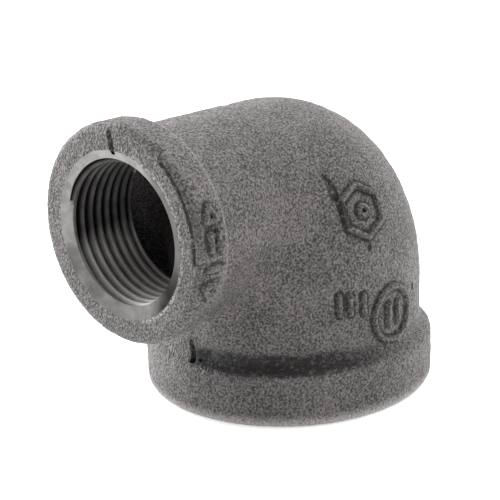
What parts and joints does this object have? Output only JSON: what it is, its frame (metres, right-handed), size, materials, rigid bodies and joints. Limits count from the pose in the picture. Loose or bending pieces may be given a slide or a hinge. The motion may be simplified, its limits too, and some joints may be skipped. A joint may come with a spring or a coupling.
{
  "type": "pipe elbow",
  "caption": "Threaded 90 degree reducing pipe elbow in black malleable iron, with a rounded band around each end.",
  "frame": {"origin": "centre of the large end's face", "axes": "+Z along the large end's axis, into the fitting; the small end faces -X"},
  "size_m": [0.0684, 0.0546, 0.0553],
  "materials": {
    "cast_skin": "black oxide, sand-cast skin",
    "machined_thread": "tapped, oiled"
  },
  "bodies": {
    "root": {"large_socket": "cast_skin", "elbow_body": "cast_skin", "small_socket": "cast_skin"}
  },
  "joints": []
}
